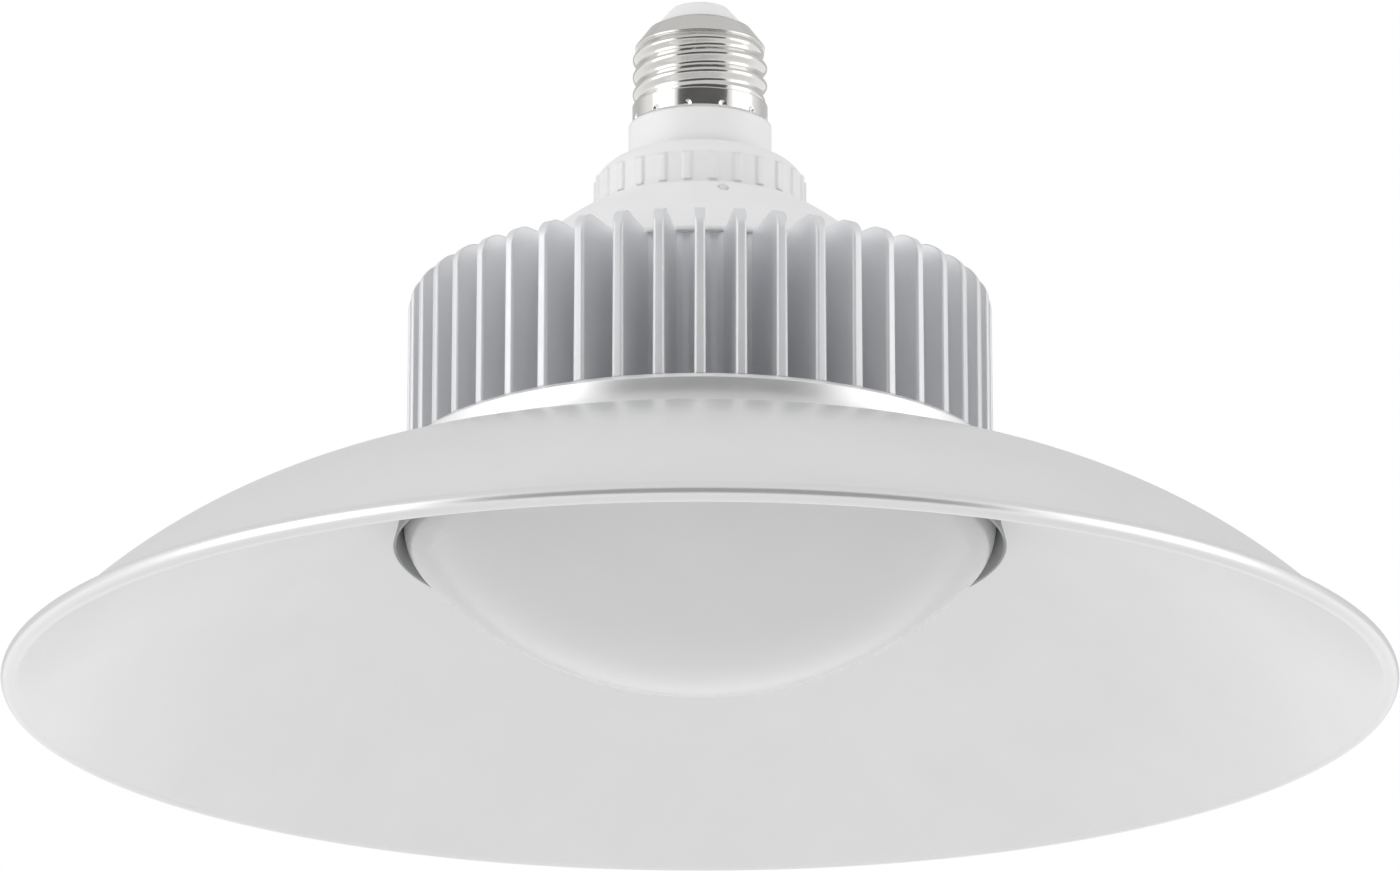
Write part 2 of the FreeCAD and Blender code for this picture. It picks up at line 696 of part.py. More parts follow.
def shade():
    """Spun shade: flat seat, one long arc out to the rim, and the rim curled outwards."""
    hole = "(%s + dims.clearance)" % PEDESTAL_RADIUS
    seat = "dims.ring_radius"
    centre_r = "dims.crown_centre_radius"
    centre_z = "(-sqrt(dims.crown_radius^2 - (%s - %s)^2))" % (seat, centre_r)
    inner_radius = "(dims.crown_radius - dims.shade_wall)"
    # The curl's middle lies on the circle of this radius about the crown's middle
    reach = "(dims.crown_radius + dims.curl_radius - dims.shade_wall)"
    curl_r = "(dims.shade_radius - dims.curl_radius)"
    lean = "asin((%s - %s) / %s)" % (curl_r, centre_r, reach)
    curl_z = "(%s + %s * cos(%s))" % (centre_z, reach, lean)
    curl_bore = "(dims.curl_radius - dims.shade_wall)"

    def on_crown(radius):
        return ("%s + %s * sin(%s)" % (centre_r, radius, lean), "%s + %s * cos(%s)" % (centre_z, radius, lean))

    def on_curl(radius, share):
        angle = "(%s + 180deg - dims.curl_sweep * %s * 1deg)" % (lean, share)
        return ("%s + %s * sin(%s)" % (curl_r, radius, angle), "%s + %s * cos(%s)" % (curl_z, radius, angle))

    inner_seat = "(%s + sqrt(%s^2 - (%s - %s)^2))" % (centre_z, inner_radius, seat, centre_r)
    body = turned_part("shade", SHADE_SEAT, [
        (hole, "-dims.shade_wall"),
        (seat, "-dims.shade_wall"),
        (seat, inner_seat, inner_radius, "cw"),
        on_crown(inner_radius) + ("dims.curl_radius", "ccw"),
        on_curl("dims.curl_radius", 0.5) + ("dims.curl_radius", "ccw"),
        on_curl("dims.curl_radius", 1),
        on_curl(curl_bore, 1) + (curl_bore, "cw"),
        on_curl(curl_bore, 0.5) + (curl_bore, "cw"),
        on_crown("dims.crown_radius") + ("dims.crown_radius", "ccw"),
        (seat, "0"),
        (hole, "0"),
    ])
    screw_hole = round_pocket(body, "-dims.shade_wall", "dims.shade_wall",
                              "dims.clamp_screw_radius + dims.clearance", CLAMP_CIRCLE)
    polar(body, [screw_hole], "dims.clamp_screw_count")
    return body


def diffuser_dome():
    """Opal dome: shallow spherical cap, rounded shoulder, straight skirt with a snap groove."""
    centre = "dims.dome_sphere_radius"
    corner_r = "(dims.dome_radius - dims.dome_corner_radius)"
    corner_reach = "(dims.dome_sphere_radius - dims.dome_corner_radius)"
    corner_z = "(%s - sqrt(%s^2 - %s^2))" % (centre, corner_reach, corner_r)

    def blend(sphere):
        scale = "(%s / %s)" % (sphere, corner_reach)
        return ("%s * %s" % (corner_r, scale), "%s - (%s - %s) * %s" % (centre, centre, corner_z, scale))

    inner_sphere = "(dims.dome_sphere_radius - dims.dome_wall)"
    inner_corner = "(dims.dome_corner_radius - dims.dome_wall)"
    groove_low = "(dims.dome_height + dims.dome_gap - dims.snap_drop - dims.clearance)"
    groove_high = "(%s + dims.snap_height + 2 * dims.clearance)" % groove_low
    groove = "(%s + dims.snap_depth)" % DOME_INNER_RADIUS
    level = "%s - dims.dome_gap - dims.dome_height" % BOARD_SEAT
    return turned_part("diffuser_dome", level, [
        ("0", "0", "dims.dome_sphere_radius", "ccw"),
        blend("dims.dome_sphere_radius") + ("dims.dome_corner_radius", "ccw"),
        ("dims.dome_radius", corner_z),
        ("dims.dome_radius", "dims.dome_height"),
        (DOME_INNER_RADIUS, "dims.dome_height"),
        (DOME_INNER_RADIUS, groove_high),
        (groove, groove_high),
        (groove, groove_low),
        (DOME_INNER_RADIUS, groove_low),
        (DOME_INNER_RADIUS, corner_z, inner_corner, "cw"),
        blend(inner_sphere) + (inner_sphere, "cw"),
        ("0", "dims.dome_wall"),
    ])


def dome_ring():
    """Plastic ring under the shade's seat, with the bead that the dome snaps over."""
    bore = "(%s + dims.clearance)" % PEDESTAL_RADIUS
    outside = "(%s - dims.clearance)" % DOME_INNER_RADIUS
    bead = "(%s + dims.snap_depth)" % outside
    bead_low = "(dims.dome_ring_height - dims.snap_drop)"
    bead_high = "(%s + dims.snap_height)" % bead_low
    body = turned_part("dome_ring", DOME_RING_FOOT, [
        (bore, "0"),
        (outside, "0"),
        (outside, bead_low),
        (bead, bead_low),
        (bead, bead_high),
        (outside, bead_high),
        (outside, "dims.dome_ring_height"),
        (bore, "dims.dome_ring_height"),
    ])
    hole = round_pocket(body, "0", "dims.dome_ring_height",
                        "dims.clamp_screw_radius + dims.clearance", CLAMP_CIRCLE)
    polar(body, [hole], "dims.clamp_screw_count")
    return body


def screws(label, level, head_radius, head_height, shank_radius, shank_length, place, count, upward):
    """A ring of pan-head screws: the heads' seats lie at the level, the shanks point up or down."""
    body = new_body(label, level)
    head = round_pad(body, "0", head_height, head_radius, *place)
    shank = round_pad(body, "0", shank_length, shank_radius, *place)
    head.Reversed = upward
    shank.Reversed = not upward
    polar(body, [head, shank], count)
    return body


def thermal_pad():
    """Soft pad between the heat sink's floor and the LED board."""
    body = new_body("thermal_pad", "%s - dims.thermal_pad_thickness" % BOARD_SEAT)
    plate_with_holes(body, "dims.thermal_pad_thickness")
    return body


def led_board():
    """Round aluminium-core board that carries the LEDs."""
    body = new_body("led_board", LED_FACE)
    plate_with_holes(body, "dims.led_board_thickness")
    return body


def plate_with_holes(body, thickness):
    """A disc of the LED board's size with its screw holes and its wire hole."""
    round_pad(body, "0", thickness, LED_BOARD_RADIUS)
    hole = round_pocket(body, "0", thickness,
                        "dims.board_screw_radius + dims.clearance", "dims.board_screw_circle")
    polar(body, [hole], "dims.board_screw_count")
    round_pocket(body, "0", thickness, "dims.connector_width / 2 - dims.clearance", "0", "dims.connector_place")


def led_chips():
    """White LED packages in three rings, with one, two and three times the first ring's count."""
    body = new_body("led_chips", "%s - dims.chip_height" % LED_FACE)
    for ring in (1, 2, 3):
        radius = "(dims.chip_ring_first + %d * dims.chip_ring_pitch)" % (ring - 1)
        chip = pad(body, "0", "dims.chip_height",
                   box_corners("dims.chip_radial", "dims.chip_tangential", radius))
        polar(body, [chip], "dims.chips_first_ring * %d" % ring)
    return body


def led_connector():
    """Terminal block over the LED board's wire hole."""
    body = new_body("led_connector", "%s - dims.connector_height" % LED_FACE)
    pad(body, "0", "dims.connector_height",
        box_corners("dims.connector_length", "dims.connector_width", "0", "dims.connector_place"))
    return body


def driver_liner():
    """Insulating cup in the core, with the posts that carry the driver board."""
    body = new_body("driver_liner", CAVITY_FLOOR)
    bore = "(%s - dims.liner_wall)" % LINER_RADIUS
    edge = "(%s - %s - dims.cover_lip_depth - dims.clearance)" % (COVER_FOOT, CAVITY_FLOOR)
    revolve(body, [
        ("0", "0"),
        (LINER_RADIUS, "0"),
        (LINER_RADIUS, edge),
        (bore, edge),
        (bore, "dims.liner_wall"),
        ("0", "dims.liner_wall"),
    ])
    post = round_pad(body, "dims.liner_wall", "dims.post_height", "dims.post_radius", *DRIVER_SCREW_PLACE)
    seat = "(dims.liner_wall + dims.post_height)"
    hole = round_pocket(body, "%s - dims.driver_screw_depth" % seat, "dims.driver_screw_depth",
                        "dims.driver_screw_radius", *DRIVER_SCREW_PLACE)
    polar(body, [post, hole], "dims.driver_screw_count")
    round_pocket(body, "0", "dims.liner_wall", "dims.wire_hole_radius", "0", "dims.connector_place")
    return body


def driver_board():
    """Round circuit board of the driver."""
    body = new_body("driver_board", DRIVER_SEAT)
    round_pad(body, "0", "dims.driver_board_thickness", DRIVER_BOARD_RADIUS)
    hole = round_pocket(body, "0", "dims.driver_board_thickness",
                        "dims.driver_screw_radius + dims.clearance", *DRIVER_SCREW_PLACE)
    polar(body, [hole], "dims.driver_screw_count")
    return body


def component(name):
    """One driver component, standing on the board."""
    body = new_body(name, DRIVER_TOP)
    x, y = "dims.%s_x" % name, "dims.%s_y" % name
    height = "dims.%s_height" % name
    if len(COMPONENTS[name][0]) == 1:
        round_pad(body, "0", height, "dims.%s_radius" % name, x, y)
    else:
        pad(body, "0", height, box_corners("dims.%s_length" % name, "dims.%s_width" % name, x, y))
    return body


def pipe(label, level, start, path):
    """A wire swept along a path in the XZ plane, from a start point at the level."""
    body = new_body(label, level)
    section = new_sketch(body, "XY_Plane")
    draw_circle(section, start, "0", "dims.wire_radius")
    spine = new_sketch(body, "XZ_Plane")
    draw_path(spine, path, closed=False)
    swept = feature(body, "AdditivePipe", section)
    swept.Spine = (spine, [])
    return body


def sloped_lead(side, offset, top):
    """Corners of a lead: up from the board at one side, slanting in, then up along the cap's bore.

    Both bends have the same radius and turn by 45 degrees, and heights count from the board's top.
    """
    bend = "dims.lead_bend_radius"
    setback = "(%s * tan(22.5deg))" % bend
    shift = "(%s * sin(45deg))" % setback
    outer, inner = "dims.lead_place", offset
    cavity_top = "(%s - %s)" % (COVER_FOOT, DRIVER_TOP)
    low = "(%s - %s)" % (cavity_top, bend)
    high = "(%s + %s - %s)" % (low, outer, inner)
    sign = "" if side > 0 else "-"
    turns = ("ccw", "cw") if side > 0 else ("cw", "ccw")
    return [
        ("%s%s" % (sign, outer), "0"),
        ("%s%s" % (sign, outer), "%s - %s" % (low, setback), bend, turns[0]),
        ("%s(%s - %s)" % (sign, outer, shift), "%s + %s" % (low, shift)),
        ("%s(%s + %s)" % (sign, inner, shift), "%s - %s" % (high, shift), bend, turns[1]),
        ("%s%s" % (sign, inner), "%s + %s" % (high, setback)),
        ("%s%s" % (sign, inner), top),
    ]


def live_wire():
    """Lead from the tip contact's stem to the driver board."""
    stem_end = "(%s + dims.nose_height - dims.contact_stem_length - %s)" % (SHELL_TOP, DRIVER_TOP)
    return pipe("live_wire", DRIVER_TOP, "-dims.lead_place", sloped_lead(-1, "0", stem_end))


def neutral_wire():
    """Lead from the driver board up the neck and over the plug's edge to the shell's wall."""
    bend = "dims.neutral_bend_radius"
    over = "(dims.neck_plug_height + dims.wire_radius + dims.clearance - %s)" % DRIVER_TOP
    wall = "(dims.thread_radius - dims.thread_depth - dims.shell_wall - dims.clearance)"
    path = sloped_lead(1, "dims.neutral_offset", "%s - %s" % (over, bend))
    path[-1] = path[-1] + (bend, "cw")
    path.append(("dims.neutral_offset + %s" % bend, over))
    path.append((wall, over))
    return pipe("neutral_wire", DRIVER_TOP, "dims.lead_place", path)


def led_wires():
    """Two straight leads from the driver board down to the LED board's terminal block."""
    body = new_body("led_wires", LED_FACE)
    for side in ("-", ""):
        round_pad(body, "0", "%s - %s" % (DRIVER_SEAT, LED_FACE), "dims.wire_radius",
                  "%sdims.connector_width / 4" % side, "dims.connector_place")
    return body


PIECES = [
    screw_shell(),
    cap_insulator(),
    tip_contact(),
    cap_holder(),
    driver_cover(),
    lock_screw(),
    heatsink(),
    mounting_ring(),
    shade(),
    diffuser_dome(),
    dome_ring(),
    screws("clamp_screws", DOME_RING_FOOT, "dims.clamp_head_radius", "dims.clamp_head_height",
           "dims.clamp_screw_radius",
           "dims.dome_ring_height + %s + dims.clamp_thread_depth" % PEDESTAL_HEIGHT,
           (CLAMP_CIRCLE, "0"), "dims.clamp_screw_count", True),
    thermal_pad(),
    led_board(),
    led_chips(),
    led_connector(),
    screws("led_board_screws", LED_FACE, "dims.board_screw_head_radius", "dims.board_screw_head_height",
           "dims.board_screw_radius",
           "dims.led_board_thickness + dims.thermal_pad_thickness + dims.board_screw_thread",
           ("dims.board_screw_circle", "0"), "dims.board_screw_count", True),
    driver_liner(),
    driver_board(),
    screws("driver_board_screws", DRIVER_TOP, "dims.driver_screw_head_radius",
           "dims.driver_screw_head_height", "dims.driver_screw_radius",
           "dims.driver_board_thickness + dims.driver_screw_depth",
           DRIVER_SCREW_PLACE, "dims.driver_screw_count", False),
] + [component(name) for name in COMPONENTS] + [
    live_wire(),
    neutral_wire(),
    led_wires(),
]

doc.recompute()
for item in doc.Objects:
    if "Invalid" in item.State or "Error" in item.State:
        raise RuntimeError("%s did not build: %s" % (item.Name, item.State))
for piece in PIECES:
    if piece.Shape.isNull() or not piece.Shape.isValid():
        raise RuntimeError("%s has no valid shape" % piece.Label)

os.makedirs("parts", exist_ok=True)
for piece in PIECES:
    piece.Shape.exportStep("parts/%s.step" % piece.Label)
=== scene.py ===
import json
import math

import bmesh
import bpy
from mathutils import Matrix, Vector
from mathutils.geometry import tessellate_polygon


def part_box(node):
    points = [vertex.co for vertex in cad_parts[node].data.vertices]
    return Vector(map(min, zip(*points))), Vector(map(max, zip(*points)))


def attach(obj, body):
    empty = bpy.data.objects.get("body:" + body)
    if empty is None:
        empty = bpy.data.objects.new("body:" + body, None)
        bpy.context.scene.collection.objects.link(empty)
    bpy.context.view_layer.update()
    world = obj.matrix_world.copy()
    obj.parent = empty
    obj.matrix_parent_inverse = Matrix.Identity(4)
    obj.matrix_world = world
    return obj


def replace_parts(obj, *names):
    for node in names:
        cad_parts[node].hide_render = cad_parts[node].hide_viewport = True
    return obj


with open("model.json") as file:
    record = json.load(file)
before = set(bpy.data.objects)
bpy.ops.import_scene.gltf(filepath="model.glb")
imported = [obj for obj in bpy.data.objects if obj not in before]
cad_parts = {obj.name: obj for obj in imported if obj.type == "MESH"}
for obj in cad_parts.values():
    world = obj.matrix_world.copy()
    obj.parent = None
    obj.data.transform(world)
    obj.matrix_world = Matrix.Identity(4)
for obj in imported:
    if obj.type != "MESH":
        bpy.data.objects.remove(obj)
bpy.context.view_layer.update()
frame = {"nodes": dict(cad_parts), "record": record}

# Camera in front of the lamp, looking up into the shade, in metres, degrees and millimetres
RIM_CENTRE = Vector((0.0, 0.0, -0.1134))
CAMERA_AIM = Vector((0.0, 0.0, -0.0626))
CAMERA_DISTANCE = 2.0
CAMERA_ELEVATION = -15.53
CAMERA_REACH = 100.0
LENS_MM = 267.8
SENSOR_MM = 36.0

# Spun shade and turned ring, in metres: the solids' own outlines, turned more finely
SHADE_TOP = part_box("shade")[1][2]
SHADE_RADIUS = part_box("shade")[1][0]
SHADE_WALL = 0.001
SEAT_RADIUS = 0.0574
CROWN_RADIUS = 0.1117
CROWN_CENTRE = 0.0466
CURL_RADIUS = 0.0018
CURL_SWEEP = math.radians(235.0)
RING_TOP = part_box("mounting_ring")[1][2]
RING_BULGE = 0.008
RING_CHAMFER = 0.0008
RING_STEP = 0.0524
RING_LIP = 0.0039
BORE_RADIUS = 0.0444
CLAMP_CIRCLE = 0.0482
CLAMP_HOLE = 0.0022
CLAMP_COUNT = 4

# Flared lip round the dome's foot, in metres: (radius, height) round its section, from the shade down. It is
# painted shadow: a dark grey piece set where the dome's shadow falls on the shade
SHADOW_LIP_OUTLINE = [
    (0.0577, -0.0763), (0.0579, -0.0796), (0.0583, -0.0823), (0.0590, -0.0849), (0.0591, -0.0853),
    (0.0589, -0.0855), (0.0586, -0.0853), (0.0579, -0.0825), (0.0574, -0.0798), (0.0572, -0.0763),
]

# Fineness of the turned meshes: steps round the axis and along the outlines
TURN_STEPS = 240
HOLE_STEPS = 32
CROWN_STEPS = 48
CURL_OUTER_STEPS = 32
CURL_INNER_STEPS = 16
BULGE_STEPS = 24
SHARP_ANGLE = math.radians(35.0)

# Texture of the finishes: waves per metre, depths in metres
CLOUD_SCALE = 60.0
CLOUD_DETAIL = 3.0
ROUGHNESS_SCALE = 240.0
GRAIN_SCALE = 2500.0
GRAIN_DETAIL = 2.0
GRAIN_DEPTH = 6e-6
GRAIN_STRENGTH = 0.25
NOISE_LOW = 0.3
NOISE_HIGH = 0.7
EDGE_SAMPLES = 8

# Spun aluminium: satin on the shade, burnished on the curled rim from one radius to the next, in metres
SATIN_DARK = (0.84, 0.84, 0.84)
SATIN_LIGHT = (0.86, 0.86, 0.86)
SATIN_ROUGHNESS = 0.29
SATIN_METALLIC = 0.5
RIM_COLOUR = (0.86, 0.86, 0.86)
RIM_ROUGHNESS = 0.28
RIM_METALLIC = 0.72
RIM_GRAIN_DEPTH = 1.2e-5
RIM_GRAIN_STRENGTH = 0.3
RIM_START = 0.1302
RIM_FULL = 0.1308
RIM_FACING = 0.02

# Finishes by slot: dark and light colour, (lowest, highest) roughness, and what else sets each apart
FINISHES = {
    "nickel": ((0.74, 0.73, 0.71), (0.80, 0.79, 0.77), (0.13, 0.18),
               {"metallic": 1.0, "rings": 1500.0, "grain_depth": 4e-6, "edge": 3e-4}),
    "contact_metal": ((0.55, 0.53, 0.48), (0.64, 0.61, 0.55), (0.3, 0.45), {"metallic": 1.0}),
    "white_plastic": ((0.82, 0.82, 0.825), (0.85, 0.85, 0.855), (0.36, 0.44), {"edge": 9e-4}),
    # Cast aluminium is painted lighter at the core between the fins and darker out at the fin tips: painted
    # light in the deep gaps, painted shade on the tips
    "cast_aluminium": ((0.94, 0.945, 0.965), (0.97, 0.975, 0.99), (0.44, 0.52),
                       {"metallic": 0.55, "grain": 1800.0, "edge": 5e-4, "outward": (0.040, 0.0562, 0.85)}),
    "turned_aluminium": ((0.97, 0.97, 0.97), (0.99, 0.99, 0.99), (0.29, 0.33),
                         {"metallic": 0.72, "rings": 2500.0, "grain_depth": 2e-6, "edge": 4e-4}),
    "opal": ((0.605, 0.605, 0.605), (0.62, 0.62, 0.62), (0.20, 0.24),
             {"grain_depth": 1e-6, "Sheen_Weight": 0.3, "Coat_Weight": 0.8, "Coat_Roughness": 0.15}),
    "screw_steel": ((0.50, 0.50, 0.51), (0.58, 0.58, 0.60), (0.30, 0.42), {"metallic": 1.0}),
    # Grey of the thermal pad; on the lip round the dome's foot this grey is painted shadow
    "pad_grey": ((0.38, 0.385, 0.385), (0.43, 0.435, 0.435), (0.7, 0.85), {}),
    "board_white": ((0.84, 0.84, 0.82), (0.88, 0.88, 0.86), (0.3, 0.4), {}),
    "phosphor": ((0.88, 0.78, 0.36), (0.93, 0.85, 0.45), (0.3, 0.4), {}),
    "board_green": ((0.07, 0.26, 0.14), (0.10, 0.32, 0.18), (0.25, 0.4), {}),
    "liner_white": ((0.76, 0.76, 0.74), (0.82, 0.82, 0.80), (0.4, 0.5), {}),
    "package_black": ((0.03, 0.03, 0.03), (0.05, 0.05, 0.05), (0.45, 0.6), {}),
    "tape_yellow": ((0.72, 0.55, 0.10), (0.82, 0.64, 0.14), (0.3, 0.45), {}),
    "sleeve_dark": ((0.04, 0.05, 0.10), (0.07, 0.08, 0.14), (0.2, 0.35), {}),
    "film_red": ((0.44, 0.08, 0.05), (0.52, 0.11, 0.08), (0.3, 0.45), {}),
    "copper_winding": ((0.52, 0.24, 0.11), (0.66, 0.33, 0.16), (0.25, 0.4), {"metallic": 1.0}),
    "fuse_body": ((0.74, 0.70, 0.60), (0.82, 0.78, 0.68), (0.4, 0.55), {}),
    "disc_blue": ((0.06, 0.17, 0.44), (0.09, 0.22, 0.54), (0.35, 0.5), {}),
    "wire_brown": ((0.20, 0.10, 0.05), (0.27, 0.14, 0.07), (0.4, 0.55), {}),
    "wire_white": ((0.76, 0.76, 0.74), (0.84, 0.84, 0.82), (0.4, 0.55), {}),
}

# Floor, in metres: pale, painted darker near the lamp as painted shade and paler from one distance to the
# next
FLOOR_LEVEL = -4.0
FLOOR_SIZE = 120.0
FLOOR_SHADED_NEAR = 0.78
FLOOR_FAR = 0.97
FLOOR_FADE = (4.0, 12.0)
FLOOR_ROUGHNESS = 0.8

# Sky: its light, and the grey that metal mirrors overhead and behind the lamp, with where each fade runs
SKY_LIGHT = 1.0
SKY_OVERHEAD = 0.66
SKY_BEHIND = 0.6
OVERHEAD_FADE = (0.25, 0.75)
BEHIND_FADE = (0.15, 0.6)
HORIZON_FADE = (0.02, 0.15)

# Softboxes: azimuth, elevation, distance, width, height, power in watts, and whether metal mirrors them
SOFTBOXES = {
    "softbox_left": (-66.0, 8.0, 2.2, 1.6, 2.4, 11.0, True),
    "softbox_right": (78.0, 8.0, 2.2, 1.6, 2.4, 7.0, True),
    "softbox_low": (0.0, -36.0, 1.6, 1.4, 0.5, 5.0, False),
    "softbox_front": (8.0, -6.0, 2.4, 1.6, 1.0, 7.0, False),
}

# Dark card behind the camera: azimuth, elevation, distance, width, height
DARK_CARD = (5.0, 2.0, 3.2, 6.0, 3.4)
DARK_CARD_GREY = 0.09
DARK_CARD_ROUGHNESS = 0.9


def new_material(name):
    """A node material with its tree and its surface shader."""
    material = bpy.data.materials.new(name)
    material.use_nodes = True
    tree = material.node_tree
    return material, tree, tree.nodes["Principled BSDF"]


def add_node(tree, kind, **inputs):
    """A shader node with values set on its named sockets."""
    node = tree.nodes.new(kind)
    for socket, value in inputs.items():
        node.inputs[socket.replace("_", " ")].default_value = value
    return node


def combined(tree, operation, first, second):
    """Two values joined by an operation."""
    node = add_node(tree, "ShaderNodeMath")
    node.operation = operation
    tree.links.new(first, node.inputs[0])
    tree.links.new(second, node.inputs[1])
    return node.outputs[0]


def ranged(tree, value, start, end, low, high):
    """A value mapped from start to end onto low to high, and held there beyond."""
    node = add_node(tree, "ShaderNodeMapRange", From_Min=start, From_Max=end, To_Min=low, To_Max=high)
    tree.links.new(value, node.inputs["Value"])
    return node.outputs["Result"]


def place_in(tree):
    """Texture coordinates in the part's own frame, in metres."""
    return add_node(tree, "ShaderNodeTexCoord").outputs["Object"]


def ring_place(tree):
    """Coordinates (distance from the lamp axis, 0, height), so that a texture runs in rings."""
    split = add_node(tree, "ShaderNodeSeparateXYZ")
    tree.links.new(place_in(tree), split.inputs[0])
    flat = add_node(tree, "ShaderNodeCombineXYZ")
    tree.links.new(split.outputs["X"], flat.inputs["X"])
    tree.links.new(split.outputs["Y"], flat.inputs["Y"])
    radius = add_node(tree, "ShaderNodeVectorMath")
    radius.operation = "LENGTH"
    tree.links.new(flat.outputs[0], radius.inputs[0])
    ring = add_node(tree, "ShaderNodeCombineXYZ")
    tree.links.new(radius.outputs["Value"], ring.inputs["X"])
    tree.links.new(split.outputs["Z"], ring.inputs["Z"])
    return ring.outputs[0]


def by_radius(tree, inner, outer, low, high):
    """A value that runs from low at an inner to high at an outer distance from the lamp axis."""
    split = add_node(tree, "ShaderNodeSeparateXYZ")
    tree.links.new(ring_place(tree), split.inputs[0])
    return ranged(tree, split.outputs["X"], inner, outer, low, high)


def outward_facing(tree, place):
    """1 where a surface faces away from the lamp axis, 0 where it faces the axis."""
    level = add_node(tree, "ShaderNodeVectorMath")
    level.operation = "MULTIPLY"
    level.inputs[1].default_value = (1.0, 1.0, 0.0)
    tree.links.new(add_node(tree, "ShaderNodeTexCoord").outputs["Normal"], level.inputs[0])
    along = add_node(tree, "ShaderNodeVectorMath")
    along.operation = "DOT_PRODUCT"
    tree.links.new(place, along.inputs[0])
    tree.links.new(level.outputs["Vector"], along.inputs[1])
    return ranged(tree, along.outputs["Value"], -RIM_FACING, RIM_FACING, 0.0, 1.0)


def noise(tree, place, scale, detail):
    """A noise texture over a place, with its scale in waves per metre."""
    texture = add_node(tree, "ShaderNodeTexNoise", Scale=scale, Detail=detail)
    tree.links.new(place, texture.inputs["Vector"])
    return texture.outputs["Fac"]


def clouds(tree, place, scale, low, high):
    """Soft clouds over a place, between two values."""
    return ranged(tree, noise(tree, place, scale, CLOUD_DETAIL), NOISE_LOW, NOISE_HIGH, low, high)


def colour_mix(tree, factor):
    """A mix of two colours by a factor: the two colours' sockets and the result."""
    mix = add_node(tree, "ShaderNodeMix")
    mix.data_type = "RGBA"
    tree.links.new(factor, mix.inputs["Factor"])
    first, second = [socket for socket in mix.inputs if socket.type == "RGBA"]
    result = next(socket for socket in mix.outputs if socket.type == "RGBA")
    return first, second, result


def clouded(tree, place, dark, light):
    """A colour that clouds between dark and light."""
    first, second, result = colour_mix(tree, clouds(tree, place, CLOUD_SCALE, 0.0, 1.0))
    first.default_value = (*dark, 1.0)
    second.default_value = (*light, 1.0)
    return result


def scaled(tree, colour, factor):
    """A colour times a factor."""
    product = add_node(tree, "ShaderNodeVectorMath")
    product.operation = "SCALE"
    tree.links.new(colour, product.inputs[0])
    tree.links.new(factor, product.inputs["Scale"])
    return product.outputs["Vector"]


def bump(tree, shader, height, strength, depth, edge=0.0):
    """Raise the surface by a texture, over edges rounded by a radius."""
    node = add_node(tree, "ShaderNodeBump", Strength=strength, Distance=depth)
    tree.links.new(height, node.inputs["Height"])
    if edge:
        rounded = add_node(tree, "ShaderNodeBevel", Radius=edge)
        rounded.samples = EDGE_SAMPLES
        tree.links.new(rounded.outputs["Normal"], node.inputs["Normal"])
    tree.links.new(node.outputs["Normal"], shader.inputs["Normal"])


def finish(name, dark, light, rough, metallic=0.0, grain=GRAIN_SCALE, grain_depth=GRAIN_DEPTH,
           rings=0.0, edge=0.0, outward=None, **sockets):
    """A surface with clouded colour, uneven roughness and a fine grain or turned rings as bump.

    outward: (inner radius, outer radius, tone) by which the colour fades away from the lamp axis, as painted
    light and shade: lighter in the hollows near the axis, darker further out.
    """
    material, tree, shader = new_material(name)
    place = place_in(tree)
    colour = clouded(tree, place, dark, light)
    # Painted light and shade: the colour darkens by radius away from the lamp axis
    if outward:
        inner, outer, tone = outward
        colour = scaled(tree, colour, by_radius(tree, inner, outer, 1.0, tone))
    tree.links.new(colour, shader.inputs["Base Color"])
    tree.links.new(clouds(tree, place, ROUGHNESS_SCALE, *rough), shader.inputs["Roughness"])
    shader.inputs["Metallic"].default_value = metallic
    for socket, value in sockets.items():
        shader.inputs[socket.replace("_", " ")].default_value = value
    if rings:
        height = noise(tree, ring_place(tree), rings, GRAIN_DETAIL)
    else:
        height = noise(tree, place, grain, GRAIN_DETAIL)
    bump(tree, shader, height, GRAIN_STRENGTH, grain_depth, edge)
    return material


def spun_finish():
    """Satin spun aluminium, burnished on the curled rim."""
    material, tree, shader = new_material("spun_aluminium")
    place = place_in(tree)
    near_rim = by_radius(tree, RIM_START, RIM_FULL, 0.0, 1.0)
    rim = combined(tree, "MULTIPLY", near_rim, outward_facing(tree, place))
    satin, burnished, colour = colour_mix(tree, rim)
    tree.links.new(clouded(tree, place, SATIN_DARK, SATIN_LIGHT), satin)
    burnished.default_value = (*RIM_COLOUR, 1.0)
    tree.links.new(colour, shader.inputs["Base Color"])
    roughness = ranged(tree, rim, 0.0, 1.0, SATIN_ROUGHNESS, RIM_ROUGHNESS)
    tree.links.new(roughness, shader.inputs["Roughness"])
    metallic = ranged(tree, rim, 0.0, 1.0, SATIN_METALLIC, RIM_METALLIC)
    tree.links.new(metallic, shader.inputs["Metallic"])
    grain = combined(tree, "MULTIPLY", noise(tree, place, GRAIN_SCALE, GRAIN_DETAIL), rim)
    bump(tree, shader, grain, RIM_GRAIN_STRENGTH, RIM_GRAIN_DEPTH)
    return material


